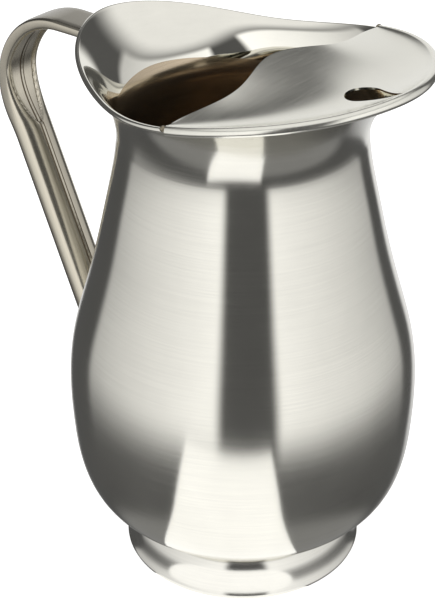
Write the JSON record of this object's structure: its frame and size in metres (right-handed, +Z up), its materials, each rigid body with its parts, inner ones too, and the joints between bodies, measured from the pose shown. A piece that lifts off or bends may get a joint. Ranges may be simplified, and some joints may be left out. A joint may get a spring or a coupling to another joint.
{
  "type": "water pitcher with ice guard",
  "caption": "Footed bell-shaped metal pitcher with a flared mouth, an ice guard with a pour hole over the spout, and a hollow loop handle.",
  "frame": {"origin": "centre of the foot's resting circle, on the body's axis", "axes": "+Z up along the body's axis, +X towards the pouring spout, -X towards the handle, Y across"},
  "size_m": [0.2157, 0.14, 0.2328],
  "materials": {
    "brushed_body": "brushed round the axis outside, mirror polish inside the flare",
    "brushed_foot": "brushed round the axis",
    "satin_guard": "satin",
    "satin_handle": "satin, brushed along its length",
    "weld_metal": "dressed weld"
  },
  "bodies": {
    "root": {"body_shell": "brushed_body", "foot_ring": "brushed_foot", "foot_weld": "weld_metal", "ice_guard": "satin_guard", "guard_tack_near": "weld_metal", "guard_tack_far": "weld_metal", "handle_tube": "satin_handle", "handle_seam": "weld_metal", "handle_weld_low": "weld_metal", "handle_weld_top": "weld_metal"}
  },
  "joints": []
}
